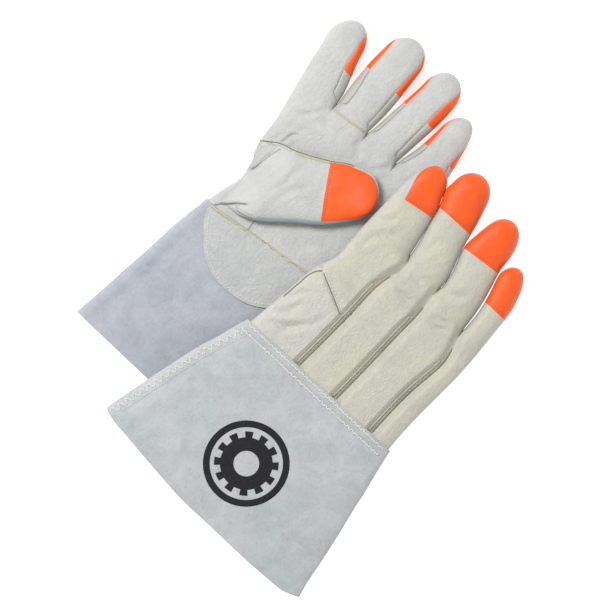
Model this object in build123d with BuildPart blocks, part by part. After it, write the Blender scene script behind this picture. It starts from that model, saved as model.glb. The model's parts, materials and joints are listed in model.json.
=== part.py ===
from build123d import *

# A pair of leather welding gloves, laid one over the other.
#
# The left glove lies on its back, palm up, with its thumb folded across the palm. The right glove lies palm
# down over the left one's little-finger side, with its own thumb tucked under its palm. Each glove is sewn
# from flat panels: a split-leather gauntlet, a grain-leather palm with a patch that runs down over the
# gauntlet, a yoke and four back strips, and fingers of a front, a back, side walls and an orange cap.
#
# +X runs across the hands towards the little fingers, +Y towards the fingertips and +Z up. The origin is at
# the middle of the pair, on the surface that they lie on. Sizes are in millimetres.

import os
from dataclasses import dataclass
from math import atan2, degrees

# Leather thickness
GRAIN = 1.2
SPLIT = 1.6

# Heights of the flattened tubes, outside, and how round their long edges are
HAND_HEIGHT = 22.0
FINGER_HEIGHT = 19.0
THUMB_HEIGHT = 14.0
HAND_EDGE = 9.0
FINGER_EDGE = 7.5
THUMB_EDGE = 5.5
GAUNTLET_CORNER = 4.5

# The front and back panels of a tube are cut this far in from its faces, and its side walls are between
PANEL_DEPTH = 3.2

# Clearances
FOLD_GAP = 0.8  # across each fold line, between the pieces that it joins
THUMB_GAP = 0.8  # between a thumb and the palm that it lies on
FINGER_LIFT = 1.5  # a finger's underside above its hand's

# Each gauntlet, from its wrist seam to its mouth
GAUNTLET_LENGTH = 127.0

# The palm leather runs down over the gauntlet as half of an ellipse
PATCH_HALF_WIDTH = 50.0
PATCH_LENGTH = 39.5

# The right glove leans on the left one, with its little-finger side lower
RIGHT_TILT = 8.0
LEFT_ORIGIN = (-119.2, -9.9, 0)
RIGHT_ORIGIN = (-33.2, -54.1, 29.6)


@dataclass
class Finger:
    """A finger or thumb, in the plane of its glove. Its base line and its cap line are parallel."""

    name: str
    base: tuple  # the middle of its base line
    length: float
    base_width: float
    tip_width: float
    lean: float  # how far its tip is shifted along its base line, towards +X
    cap: float  # length of the orange cap
    heading: float = 0.0  # in degrees, clockwise from the glove's +Y


@dataclass
class Glove:
    """One glove. Its frame's origin is at the thumb side of the wrist seam, on the glove's underside."""

    side: str
    palm_up: bool
    frame: Plane
    thumb_edge: list  # outline of the hand from the wrist seam to the fingers, on the thumb side
    little_edge: list  # and on the little-finger side
    seams: list  # each back seam's x at the wrist and at the fingers
    wrist: list  # corners (x, z) of the gauntlet's section at the wrist
    mouth: list  # and at its mouth
    gauntlet_seam: float  # height of the gauntlet's side seams
    patch_centre: float
    curls: list  # names of the fingers that bend at their cap line
    fingers: list
    thumb: Finger


LEFT = Glove(
    side="left",
    palm_up=True,
    frame=Plane(LEFT_ORIGIN),
    thumb_edge=[(0, 0), (8, 22), (10, 40), (2, 56), (-1, 78), (-6, 98)],
    little_edge=[(133, 0), (121, 40), (121, 98)],
    seams=[(38, 22.5), (71, 55.9), (103, 88.9)],
    wrist=[(0, 0), (133, 0), (133, 18), (0, 22)],
    mouth=[(-12, 0), (177, 0), (177, 10.5), (-12, 22)],
    gauntlet_seam=5.2,
    patch_centre=58,
    curls=["index", "middle", "ring", "little"],
    fingers=[
        Finger("index", (7.2, 110.5), 63, 30.0, 29.0, -11.5, 35.5),
        Finger("middle", (39.0, 113), 78, 32.4, 30.6, -1.5, 39.5),
        Finger("ring", (71.8, 114), 77, 30.4, 28.8, 2.9, 40.0),
        Finger("little", (105.8, 114), 60, 30.4, 25.0, -3.1, 35.0),
    ],
    thumb=Finger("thumb", (16.2, 31), 94, 52.0, 31.0, 0, 38.0, heading=54.4),
)

RIGHT = Glove(
    side="right",
    palm_up=False,
    frame=Plane(Location(RIGHT_ORIGIN, (0, RIGHT_TILT, 0))),
    thumb_edge=[(0, 0), (3, 20), (8, 46), (14, 74), (15, 100)],
    little_edge=[(141, 0), (142, 48), (141.2, 92)],
    seams=[(48.5, 53), (85, 87.6), (121, 120)],
    wrist=[(0, 0), (141, 0), (141, 22), (0, 22)],
    mouth=[(-34, -10), (168, -2), (168, 20), (-34, 22)],
    gauntlet_seam=9.0,
    patch_centre=62,
    curls=[],
    fingers=[
        Finger("index", (33.8, 116), 62, 35.6, 27.6, -5.4, 34.5),
        Finger("middle", (70.6, 116), 78, 32.4, 29.6, -15.0, 38.3),
        Finger("ring", (103.6, 108), 77, 31.2, 27.2, -7.9, 37.3),
        Finger("little", (131.1, 102), 61, 20.2, 19.2, -8.6, 35.3),
    ],
    thumb=Finger("thumb", (65.0, 47), 74, 30.0, 26.0, 0, 34.0, heading=8.0),
)


def across(frame, distance):
    """The plane that faces along a frame's +Y, at that distance along it."""
    return Plane(frame.from_local_coords((0, distance, 0)), x_dir=frame.x_dir, z_dir=frame.y_dir)


def section(frame, distance):
    """The sketching plane across a frame at that distance along +Y, with its x across and its y up."""
    return Plane(frame.from_local_coords((0, distance, 0)), x_dir=frame.x_dir, z_dir=-frame.y_dir)


def upright(frame, point, heading):
    """The plane through a point, upright in the frame, that faces that heading, clockwise from +Y."""
    turned = frame.location * Pos(*point, 0) * Rot(0, 0, -heading)
    return across(Plane(turned), 0)


def finger_frame(glove, finger):
    """The plane of a finger's underside, with its origin at the middle of its base line."""
    if finger.name != "thumb":
        rise = FINGER_LIFT
    elif glove.palm_up:
        rise = HAND_HEIGHT + THUMB_GAP
    else:
        rise = -THUMB_GAP - THUMB_HEIGHT
    return Plane(glove.frame.location * Pos(*finger.base, rise) * Rot(0, 0, -finger.heading))


def save_piece(name, colour, source, *planes):
    """Writes what is left of a tube on the front of every plane."""
    with BuildPart() as panel:
        add(source)
        for plane in planes:
            split(bisect_by=plane, keep=Keep.TOP)
    panel.part.label = name
    panel.part.color = Color(colour)
    export_step(panel.part, f"parts/{name}.step")


def finger_block(frame, finger, height, edge, inset):
    """A finger's outside at inset 0, or its hollow, which is open at the base."""
    base = finger.base_width / 2 - inset
    tip = finger.tip_width / 2 - inset
    end = finger.length - inset
    with BuildPart() as block:
        with BuildSketch(frame.offset(inset)):
            with BuildLine():
                Polyline((-base, 0), (base, 0), (finger.lean + tip, end), (finger.lean - tip, end), close=True)
            make_face()
            fillet(vertices().group_by(Axis.Y)[-1], tip * 0.92)
        extrude(amount=height - 2 * inset)
        base_face = faces().sort_by(Axis(frame.origin, frame.y_dir))[0]
        long_faces = faces().filter_by(Axis(frame.origin, frame.z_dir))
        fillet(long_faces.edges() - base_face.edges(), edge - inset)
    return block.part


def make_finger(glove, finger):
    """A finger's front, back, side walls and orange cap, and the tip of its front if it bends there."""
    frame = finger_frame(glove, finger)
    with BuildPart() as tube:
        add(finger_block(frame, finger, FINGER_HEIGHT, FINGER_EDGE, 0))
        add(finger_block(frame, finger, FINGER_HEIGHT, FINGER_EDGE, GRAIN), mode=Mode.SUBTRACT)
    low = frame.offset(PANEL_DEPTH)
    high = frame.offset(FINGER_HEIGHT - PANEL_DEPTH)
    back, front = (-low, high) if glove.palm_up else (high, -low)
    bends = finger.name in glove.curls
    cap_line = finger.length - finger.cap
    before_cap = -across(frame, cap_line - (FOLD_GAP if bends else 0))
    after_cap = across(frame, cap_line)
    name = f"{glove.side}_{finger.name}"
    save_piece(f"{name}_back", "ivory", tube.part, back, before_cap)
    save_piece(f"{name}_side_walls", "wheat", tube.part, low, -high, before_cap)
    save_piece(f"{name}_cap", "orangered", tube.part, -front, after_cap)
    if bends:
        save_piece(f"{name}_front", "gainsboro", tube.part, front, before_cap)
        save_piece(f"{name}_tip_front", "gainsboro", tube.part, front, after_cap)
    else:
        save_piece(f"{name}_front", "gainsboro", tube.part, front)


def make_thumb(glove):
    """A thumb's front, which wraps round its sides, its back and its orange cap."""
    thumb = glove.thumb
    frame = finger_frame(glove, thumb)
    with BuildPart() as tube:
        add(finger_block(frame, thumb, THUMB_HEIGHT, THUMB_EDGE, 0))
        add(finger_block(frame, thumb, THUMB_HEIGHT, THUMB_EDGE, GRAIN), mode=Mode.SUBTRACT)
    if glove.palm_up:
        back = frame.offset(THUMB_HEIGHT - PANEL_DEPTH)
    else:
        back = -frame.offset(PANEL_DEPTH)
    cap = across(frame, thumb.length - thumb.cap)
    save_piece(f"{glove.side}_thumb_front", "gainsboro", tube.part, -back)
    save_piece(f"{glove.side}_thumb_back", "ivory", tube.part, back, -cap)
    save_piece(f"{glove.side}_thumb_cap", "orangered", tube.part, back, cap)


def hand_block(glove, inset):
    """The hand's outside at inset 0, or its hollow. Both run on past the wrist seam and the fingers."""
    run_on = 20.0
    near = [(glove.little_edge[0][0], -run_on), (glove.thumb_edge[0][0], -run_on)]
    far = [(glove.thumb_edge[-1][0], glove.thumb_edge[-1][1] + run_on)]
    far += [(glove.little_edge[-1][0], glove.little_edge[-1][1] + run_on)]
    with BuildPart() as block:
        with BuildSketch(glove.frame.offset(inset)):
            with BuildLine():
                Polyline(*near, *glove.thumb_edge, *far, *reversed(glove.little_edge), close=True)
            make_face()
            if inset:
                offset(amount=-inset, kind=Kind.INTERSECTION)
        extrude(amount=HAND_HEIGHT - 2 * inset)
        long_faces = faces().filter_by(Axis(glove.frame.origin, glove.frame.z_dir))
        fillet(long_faces.edges(), HAND_EDGE - inset)
    return block.part


def make_hand(glove):
    """The palm with the hand's side walls, and the back's yoke and four strips."""
    knuckles = []
    for finger in glove.fingers:
        x, y = finger.base
        knuckles += [(x - finger.base_width / 2, y - FOLD_GAP), (x + finger.base_width / 2, y - FOLD_GAP)]
    beside = 30.0  # past the hand's sides
    corners = [(knuckles[0][0] - beside, 0), (knuckles[0][0] - beside, knuckles[0][1]), *knuckles]
    corners += [(knuckles[-1][0] + beside, knuckles[-1][1]), (knuckles[-1][0] + beside, 0)]
    with BuildPart() as tube:
        add(hand_block(glove, 0))
        add(hand_block(glove, GRAIN), mode=Mode.SUBTRACT)
        with BuildSketch(glove.frame):
            with BuildLine():
                Polyline(*corners, close=True)
            make_face()
        extrude(amount=HAND_HEIGHT, mode=Mode.INTERSECT)

    back = -glove.frame.offset(PANEL_DEPTH) if glove.palm_up else glove.frame.offset(HAND_HEIGHT - PANEL_DEPTH)
    knuckle_y = glove.fingers[1].base[1]
    seams = []
    for wrist_x, knuckle_x in glove.seams:
        turn = degrees(atan2(knuckle_x - wrist_x, knuckle_y))
        seams.append(upright(glove.frame, (wrist_x, 0), turn + 90))
    yoke_seam = upright(glove.frame, (glove.seams[0][0] - 18, 56), 25)
    save_piece(f"{glove.side}_palm", "gainsboro", tube.part, -back)
    save_piece(f"{glove.side}_yoke", "wheat", tube.part, back, -seams[0], -yoke_seam)
    save_piece(f"{glove.side}_index_strip", "ivory", tube.part, back, -seams[0], yoke_seam)
    save_piece(f"{glove.side}_middle_strip", "ivory", tube.part, back, seams[0], -seams[1])
    save_piece(f"{glove.side}_ring_strip", "ivory", tube.part, back, seams[1], -seams[2])
    save_piece(f"{glove.side}_little_strip", "ivory", tube.part, back, seams[2])


def gauntlet_block(glove, inset):
    """The gauntlet's outside at inset 0, its hollow at the leather's thickness, or a skin round it below 0."""
    with BuildPart() as block:
        for distance, corners in ((-FOLD_GAP / 2, glove.wrist), (-GAUNTLET_LENGTH, glove.mouth)):
            with BuildSketch(section(glove.frame, distance)):
                with BuildLine():
                    Polyline(*corners, close=True)
                make_face()
                if inset:
                    offset(amount=-inset, kind=Kind.INTERSECTION)
                fillet(vertices(), GAUNTLET_CORNER - inset)
        loft()
    return block.part


def make_gauntlet(glove):
    """The gauntlet's palm and back panels, and the patch that the palm's leather makes over it."""
    with BuildPart() as tube:
        add(gauntlet_block(glove, 0))
        add(gauntlet_block(glove, SPLIT), mode=Mode.SUBTRACT)
    upper = glove.frame.offset(glove.gauntlet_seam)
    palm_side = upper if glove.palm_up else -upper
    save_piece(f"{glove.side}_gauntlet_palm", "lightgray", tube.part, palm_side)
    save_piece(f"{glove.side}_gauntlet_back", "silver", tube.part, -palm_side)

    reach = 40.0 if glove.palm_up else -40.0
    with BuildPart() as patch:
        add(gauntlet_block(glove, -GRAIN))
        add(gauntlet_block(glove, 0), mode=Mode.SUBTRACT)
        with BuildSketch(upper):
            with Locations((glove.patch_centre, 0)):
                Ellipse(PATCH_HALF_WIDTH, PATCH_LENGTH)
        extrude(amount=reach, mode=Mode.INTERSECT)
    save_piece(f"{glove.side}_heel_patch", "gainsboro", patch.part)


os.makedirs("parts", exist_ok=True)
for pair_glove in (LEFT, RIGHT):
    make_gauntlet(pair_glove)
    make_hand(pair_glove)
    make_thumb(pair_glove)
    for hand_finger in pair_glove.fingers:
        make_finger(pair_glove, hand_finger)
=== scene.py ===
"""A pair of leather welding gloves: the looks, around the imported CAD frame.

Every outline is in millimetres in its own glove's frame, as in the CAD: the origin is at the thumb-side end
of the wrist seam on the glove's underside, +x runs to the little finger, +y to the fingertips and +z up.
A glove is four strips side by side, numbered from the index finger. A place round a strip's section is
0 to 1 over its top, 1 to 2 down its right side, 2 to 3 back underneath and 3 to 4 up its left side.
"""

import json
import math

import bmesh
import bpy
import numpy as np
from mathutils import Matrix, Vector
from mathutils.bvhtree import BVHTree


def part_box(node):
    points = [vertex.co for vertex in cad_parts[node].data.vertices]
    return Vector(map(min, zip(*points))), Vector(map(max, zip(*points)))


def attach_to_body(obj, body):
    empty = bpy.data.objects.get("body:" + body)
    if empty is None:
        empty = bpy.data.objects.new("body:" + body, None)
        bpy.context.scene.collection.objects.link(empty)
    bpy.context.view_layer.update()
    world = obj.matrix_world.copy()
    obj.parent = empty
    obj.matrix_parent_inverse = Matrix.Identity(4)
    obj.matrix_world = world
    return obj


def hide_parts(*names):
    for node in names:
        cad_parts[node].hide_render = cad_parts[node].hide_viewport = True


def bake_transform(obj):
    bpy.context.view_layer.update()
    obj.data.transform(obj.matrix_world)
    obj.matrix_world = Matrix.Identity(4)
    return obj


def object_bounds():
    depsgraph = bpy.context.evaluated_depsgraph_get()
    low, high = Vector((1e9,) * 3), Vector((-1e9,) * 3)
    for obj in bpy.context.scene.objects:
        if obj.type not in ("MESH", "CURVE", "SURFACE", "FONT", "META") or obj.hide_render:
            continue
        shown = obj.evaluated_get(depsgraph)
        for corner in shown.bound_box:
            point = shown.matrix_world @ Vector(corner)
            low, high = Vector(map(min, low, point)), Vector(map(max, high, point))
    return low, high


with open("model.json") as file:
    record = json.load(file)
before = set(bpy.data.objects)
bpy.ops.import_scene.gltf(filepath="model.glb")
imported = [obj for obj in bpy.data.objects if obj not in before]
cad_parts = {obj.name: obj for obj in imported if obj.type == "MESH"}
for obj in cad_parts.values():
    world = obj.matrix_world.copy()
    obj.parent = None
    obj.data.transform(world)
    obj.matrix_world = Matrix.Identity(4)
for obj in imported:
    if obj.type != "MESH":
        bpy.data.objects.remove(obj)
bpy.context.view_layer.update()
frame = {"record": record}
MM = 0.001

# Leather thicknesses
GRAIN = 1.2
SPLIT = 1.6

# Heights over the glove's underside: the middle of a hand's and a finger's section, and the reach up and down
HAND_HEIGHT = 22.0
HAND_MIDDLE, HAND_UP, HAND_DOWN = 10.0, 11.6, 9.4
FINGER_MIDDLE, FINGER_UP, FINGER_DOWN = 9.6, 10.4, 8.8

# How round a section is: 2 is an ellipse, and more is squarer
HAND_CORNER = 2.5
CUFF_CORNER = 3.4

BACK_EDGE = 0.93  # how far out the seams of a strip's back are, where 1 is its side
CUFF_EDGE = 0.97
PINCH_DEPTH, PINCH_WIDTH = 0.9, 0.9  # of a finger's leather at its top seams
CROTCH_BLEND = 10.0  # how far before a crotch the hand begins to turn into fingers
YOKE_END = 56
HEEL_GAP = 0.25  # between the heel patch and the gauntlet under it
FOLD = 16.0  # the length of leather between the two spots given at a joint
FOLDED_BEFORE = 14  # how far before its crotch a back strip's folded side ends
STEP_WIDTH, STEP_DEPTH = 6.8, 4.6  # of the folded side along each back strip's seam
MESH_STEP = 0.95
WRAP = 0.26  # how far the right index's palm leather reaches over its top


# ---------------------------------------------------------------- small maths

def curve(points):
    """A smooth function through (y, x) points, flat past its ends."""
    points = sorted(points)
    ys = np.array([p[0] for p in points], float)
    xs = np.array([p[1] for p in points], float)
    slopes = np.gradient(xs, ys)

    def value(y):
        y = np.clip(y, ys[0], ys[-1])
        i = np.clip(np.searchsorted(ys, y, side="right") - 1, 0, len(ys) - 2)
        step = ys[i + 1] - ys[i]
        t = (y - ys[i]) / step
        return (
            xs[i] * (1 + 2 * t) * (1 - t) ** 2
            + slopes[i] * step * t * (1 - t) ** 2
            + xs[i + 1] * t * t * (3 - 2 * t)
            + slopes[i + 1] * step * t * t * (t - 1)
        )

    return value


def smoothstep(a, b, v):
    t = np.clip((v - a) / (b - a), 0.0, 1.0)
    return t * t * (3 - 2 * t)


def mix(a, b, w):
    return a + (b - a) * w


def at(value, *spot):
    """A value, or what a function gives at a spot."""
    return value(*spot) if callable(value) else value


def hump(distance, width):
    return np.exp(-((distance / width) ** 2))


def noise(x, y, size, seed=0):
    """Smooth noise from -1 to 1 over the plan, with features of that size."""
    gx, gy = x / size, y / size
    ix, iy = np.floor(gx), np.floor(gy)
    fx, fy = gx - ix, gy - iy
    fx, fy = fx * fx * (3 - 2 * fx), fy * fy * (3 - 2 * fy)

    def lattice(a, b):
        v = np.sin(a * 127.1 + b * 311.7 + seed * 74.7) * 43758.5453
        return (v - np.floor(v)) * 2 - 1

    low = mix(lattice(ix, iy), lattice(ix + 1, iy), fx)
    high = mix(lattice(ix, iy + 1), lattice(ix + 1, iy + 1), fx)
    return mix(low, high, fy)


def crease(x, y, start, end, width, depth):
    """A fold line: a groove with a softer ridge on each side, fading out at its ends."""
    (x0, y0), (x1, y1) = start, end
    length = math.hypot(x1 - x0, y1 - y0)
    ux, uy = (x1 - x0) / length, (y1 - y0) / length
    along = ((x - x0) * ux + (y - y0) * uy) / length
    away = (-(x - x0) * uy + (y - y0) * ux + 0.6 * width * np.sin(along * 7.0 + x0)) / width
    fade = smoothstep(-0.15, 0.3, along) * (1 - smoothstep(0.7, 1.15, along))
    return depth * fade * (-np.exp(-away * away) + 0.45 * np.exp(-((np.abs(away) - 1.9) ** 2)))


def along(points, step=None, count=None):
    """Points spaced evenly along a smooth line through points."""
    p = np.array(points, float)
    reach = np.concatenate([[0], np.cumsum(np.linalg.norm(np.diff(p, axis=0), axis=1))])
    fine = np.linspace(0, reach[-1], 40 * len(p))
    dense = np.stack([curve(list(zip(reach, p[:, k])))(fine) for k in range(p.shape[1])], axis=1)
    reach = np.concatenate([[0], np.cumsum(np.linalg.norm(np.diff(dense, axis=0), axis=1))])
    number = count or max(2, int(round(reach[-1] / step)) + 1)
    spots = np.linspace(0, reach[-1], number)
    return np.stack([np.interp(spots, reach, dense[:, k]) for k in range(p.shape[1])], axis=1)


# ---------------------------------------------------------------- the two gloves' places

class Place:
    """A glove's frame in the row: an origin in millimetres and a tilt about Y in degrees."""

    def __init__(self, origin, tilt):
        self.origin = np.array(origin, float)
        self.cos, self.sin = math.cos(math.radians(tilt)), math.sin(math.radians(tilt))

    def turn(self, p):
        p = np.asarray(p, float)
        x = p[..., 0] * self.cos + p[..., 2] * self.sin
        z = -p[..., 0] * self.sin + p[..., 2] * self.cos
        return np.stack([x, p[..., 1], z], axis=-1)

    def row(self, p):
        """Local millimetres to row metres, for an array of points."""
        return (self.turn(p) + self.origin) * MM

    def upright(self, p):
        """Local points moved across so that each is straight above its x in plan, however the glove leans."""
        p = np.array(p, float)
        p[..., 0] = (p[..., 0] - p[..., 2] * self.sin) / self.cos
        return p


joints = {j["name"]: j for j in frame["record"]["behaviour"]["joints"]}
wrist = joints["right_wrist_raise"]
RIGHT_TILT = math.degrees(math.atan2(-wrist["axis"][2], wrist["axis"][0]))
LEFT = Place((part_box("left_gauntlet_palm")[0][0] / MM + 12.0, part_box("left_palm")[0][1] / MM, 0.0), 0.0)
hinge = np.array(wrist["pos_m"]) / MM
RIGHT = Place((0, 0, 0), RIGHT_TILT)
RIGHT.origin = hinge - RIGHT.turn((70.5, -0.2, HAND_HEIGHT))


# ---------------------------------------------------------------- panels

def mesh_object(name, points, faces, material, smooth_below=55):
    """One object from points in metres, with outward faces and sharp edges only where it turns hard."""
    mesh = bpy.data.meshes.new(name)
    mesh.from_pydata([Vector(p) for p in points], [], faces)
    work = bmesh.new()
    work.from_mesh(mesh)
    bmesh.ops.remove_doubles(work, verts=work.verts, dist=2e-6)
    bmesh.ops.dissolve_degenerate(work, edges=work.edges, dist=1e-7)
    bmesh.ops.recalc_face_normals(work, faces=work.faces)
    for face in work.faces:
        face.smooth = True
    for edge in work.edges:
        if len(edge.link_faces) == 2 and edge.calc_face_angle(0.0) > math.radians(smooth_below):
            edge.smooth = False
    work.to_mesh(mesh)
    work.free()
    obj = bpy.data.objects.new(name, mesh)
    bpy.context.scene.collection.objects.link(obj)
    mesh.materials.append(material)
    return obj


def panel(outer, thickness, material, place):
    """A sewn panel: a grid of outer points given a leather's thickness inwards, with cut edges.

    Rows run along the glove and columns run round it, clockwise seen from the fingertips.
    """
    rows, cols = outer.shape[:2]
    normal = np.cross(np.gradient(outer, axis=1), np.gradient(outer, axis=0))
    size = np.linalg.norm(normal, axis=-1, keepdims=True)
    inner = outer - normal / np.maximum(size, 1e-9) * thickness
    count = rows * cols
    faces = []
    for i in range(rows - 1):
        for j in range(cols - 1):
            a, b = i * cols + j, (i + 1) * cols + j
            faces.append((a, a + 1, b + 1, b))
            faces.append((count + b, count + b + 1, count + a + 1, count + a))
    last = (rows - 1) * cols
    for j in range(cols - 1):
        faces.append((j + 1, j, count + j, count + j + 1))
        faces.append((last + j, last + j + 1, count + last + j + 1, count + last + j))
    for i in range(rows - 1):
        a, b = i * cols, (i + 1) * cols
        faces.append((a, b, count + b, count + a))
        a, b = a + cols - 1, b + cols - 1
        faces.append((b, a, count + a, count + b))
    points = np.concatenate([outer.reshape(-1, 3), inner.reshape(-1, 3)])
    return mesh_object("panel", place.row(points), faces, material)


def joined(parts):
    """Joins panels into the first one, each with its own leather."""
    base = parts[0]
    work = bmesh.new()
    for part in parts:
        first = len(work.faces)
        work.from_mesh(part.data)
        work.faces.ensure_lookup_table()
        leather = part.data.materials[0]
        if leather.name not in base.data.materials:
            base.data.materials.append(leather)
        for face in work.faces[first:]:
            face.material_index = base.data.materials.find(leather.name)
    work.to_mesh(base.data)
    work.free()
    for part in parts[1:]:
        bpy.data.objects.remove(part)
    return base


def oval(a, edges, corner):
    """Across, up or down, and height of a rounded section at the place a round it.

    edges are how far out the top and the underside reach: top left, top right, low left, low right.
    """
    a = np.asarray(a, float) % 4.0
    top_left, top_right, low_left, low_right = edges

    def turn(edge):
        return np.arccos(np.clip(edge, 0, 1) ** (corner / 2))

    right = (a > 1) & (a < 2)
    left = a > 3
    angle = np.where(right, mix(turn(top_right), -turn(low_right), a - 1), 0.0)
    angle = np.where(left, mix(-turn(low_left), turn(top_left), a - 3), angle)
    across = np.where(a <= 1, mix(-top_left, top_right, a), mix(low_right, -low_left, a - 2))
    side = np.where(right, 1.0, -1.0) * np.abs(np.cos(angle)) ** (2 / corner)
    across = np.where(right | left, side, across)
    upward = np.where(a <= 1, 1.0, -1.0)
    upward = np.where(right | left, np.where(angle >= 0, 1.0, -1.0), upward)
    height = (1 - np.minimum(np.abs(across), 1) ** corner) ** (1 / corner)
    return across, upward, height


# ---------------------------------------------------------------- the hand and fingers

class Finger:
    """A finger's sides and tip. Its sides start at the seams that the hand's own panels meet at."""

    def __init__(self, name, left, right, start, cap, tip, rounding, slope, front_left=None,
                 front_right=None):
        self.name = name
        self.left, self.right = curve(left), curve(right)
        self.start, self.cap, self.tip = start, cap, tip
        self.rounding, self.slope = rounding, slope
        # how far out the front's seams are, from 0 at the finger's middle to 1 at its side
        self.front_left = curve(front_left or [(start, 0.8), (tip, 0.8)])
        self.front_right = curve(front_right or [(start, 0.8), (tip, 0.8)])


class Glove:
    """One glove's hand: four strips side by side that run from the wrist seam to the four fingertips."""

    def __init__(self, side, place, palm_up, seams, crotches, fingers, shape):
        self.side, self.place, self.palm_up = side, place, palm_up
        self.seams = [curve(s) for s in seams]
        self.crotches, self.fingers = crotches, fingers
        self.shape = shape

    def edges(self, g, y):
        """The plan x of strip g's left and right outline at y."""
        left, right = self.fingers[g].left(y), self.fingers[g].right(y)
        if g > 0:
            left = np.where(y < self.crotches[g - 1], self.seams[g - 1](y), left)
        if g < 3:
            right = np.where(y < self.crotches[g], self.seams[g](y), right)
        return left, right

    def ring(self, g, y, a):
        """Points of strip g at y along it and at the place a round it."""
        finger = self.fingers[g]
        y, a = np.broadcast_arrays(np.asarray(y, float), np.asarray(a, float))
        left, right = self.edges(g, y)
        reach = np.clip((y - (finger.tip - finger.rounding)) / finger.rounding, 0, 1)
        close = np.sqrt(np.maximum(1 - reach * reach, 0))
        mid, half = (left + right) / 2, (right - left) / 2 * close
        back = (BACK_EDGE, BACK_EDGE)
        front = (finger.front_left(y), finger.front_right(y))
        sections = (*front, *back) if self.palm_up else (*back, *front)
        left_crotch = self.crotches[g - 1] if g else self.crotches[0]
        right_crotch = self.crotches[g] if g < 3 else self.crotches[2]

        limits = []
        for i, edge in enumerate(sections):
            crotch = (left_crotch, right_crotch)[i % 2]
            outer = g == (0, 3)[i % 2]
            limits.append(mix(BACK_EDGE if outer else 1.0, edge, smoothstep(crotch, crotch + 4, y)))
        across, upward, height = oval(a, limits, HAND_CORNER)
        x = mid + half * across
        bulge = np.where(upward > 0, FINGER_UP, FINGER_DOWN) * close ** 0.8
        z_finger = FINGER_MIDDLE + upward * bulge * height
        thumb_side, little_side = self.fingers[0].left(y), self.fingers[3].right(y)
        c = (x - (thumb_side + little_side) / 2) / np.maximum((little_side - thumb_side) / 2, 1)
        rounded = (1 - np.minimum(np.abs(c), 1) ** 6) ** (1 / 6)
        z_hand = HAND_MIDDLE + upward * np.where(upward > 0, HAND_UP, HAND_DOWN) * rounded
        crotch = mix(left_crotch, right_crotch, (across + 1) / 2)
        weight = smoothstep(crotch - CROTCH_BLEND, crotch + 1, y)
        z = mix(z_hand, z_finger, weight)
        for seam in (-limits[0], limits[1]):
            depth = PINCH_DEPTH * (1 - smoothstep(0.86, 0.97, np.abs(seam))) * weight * close
            z = z - np.where(upward > 0, depth, 0.0) * np.exp(-(((across - seam) * half / PINCH_WIDTH) ** 2))
        y_out = y + finger.slope * (x - mid) * np.exp(-(((y - finger.cap) / 14) ** 2))
        z = z + self.shape(x, y_out, upward, weight, close)
        return self.place.upright(np.stack([x, y_out, z], axis=-1))

    def patch(self, g, y0, y1, a0, a1, material, crowd=False):
        """A panel of strip g between two rows and two places round it, whose rows may crowd to the tip."""
        turn = at(a1, y0) - at(a0, y0)
        width = 36.0 * min(turn, 1.0) + 18.0 * max(turn - 1.0, 0.0)
        r = np.linspace(0, 1, max(6, int((y1 - y0) / MESH_STEP)))[:, None]
        if crowd:
            r = np.sin(r * math.pi / 2)
        c = np.linspace(0, 1, max(6, int(width / MESH_STEP)))[None, :]
        y = y0 + (y1 - y0) * r
        near, far = at(a0, y), at(a1, y)
        return panel(self.ring(g, y, near + (far - near) * c), GRAIN, material, self.place)


# ---------------------------------------------------------------- materials

def shader(name, roughness, sheen=0.0, specular=0.35):
    """A new material, its node tree and its Principled shader."""
    material = bpy.data.materials.new(name)
    material.use_nodes = True
    tree = material.node_tree
    bsdf = tree.nodes["Principled BSDF"]
    bsdf.inputs["Roughness"].default_value = roughness
    bsdf.inputs["Specular IOR Level"].default_value = specular
    bsdf.inputs["Sheen Weight"].default_value = sheen
    bsdf.inputs["Sheen Roughness"].default_value = 0.6
    return material, tree, bsdf


def texture(tree, kind, scale, stretch=(1, 1, 1), **values):
    """A noise or cell texture over the object's own space, with its scale in features per metre."""
    place = tree.nodes.new("ShaderNodeTexCoord")
    mapping = tree.nodes.new("ShaderNodeMapping")
    mapping.inputs["Scale"].default_value = stretch
    node = tree.nodes.new(kind)
    node.inputs["Scale"].default_value = scale
    for key, value in values.items():
        node.inputs[key.replace("_", " ")].default_value = value
    tree.links.new(place.outputs["Object"], mapping.inputs["Vector"])
    tree.links.new(mapping.outputs["Vector"], node.inputs["Vector"])
    return node


def ramp(tree, source, stops):
    """A colour ramp fed from a socket, through (position, colour) stops."""
    node = tree.nodes.new("ShaderNodeValToRGB")
    elements = node.color_ramp.elements
    while len(elements) < len(stops):
        elements.new(0.5)
    for element, (position, colour) in zip(elements, stops):
        element.position = position
        element.color = (*colour, 1.0)
    tree.links.new(source, node.inputs["Fac"])
    return node.outputs["Color"]


def blended(tree, a, b, amount):
    """Two colour sockets multiplied by an amount."""
    node = tree.nodes.new("ShaderNodeMix")
    node.data_type = "RGBA"
    node.blend_type = "MULTIPLY"
    node.inputs["Factor"].default_value = amount
    tree.links.new(a, node.inputs["A"])
    tree.links.new(b, node.inputs["B"])
    return node.outputs["Result"]


def bump(tree, source, distance, strength=1.0, under=None):
    """A bump from a height socket, on top of another bump."""
    node = tree.nodes.new("ShaderNodeBump")
    node.inputs["Distance"].default_value = distance * MM
    node.inputs["Strength"].default_value = strength
    tree.links.new(source, node.inputs["Height"])
    if under:
        tree.links.new(under, node.inputs["Normal"])
    return node.outputs["Normal"]


LIGHT = 1.42  # how much light the studio puts on a level surface


def linear(colour):
    """The reflectance that looks like an sRGB colour from 0 to 255 under the studio's light."""
    return tuple(((v / 255 + 0.055) / 1.055) ** 2.4 / LIGHT for v in colour)


def shaded(colour, factor):
    return tuple(min(v * factor, 1.0) for v in linear(colour))


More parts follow.
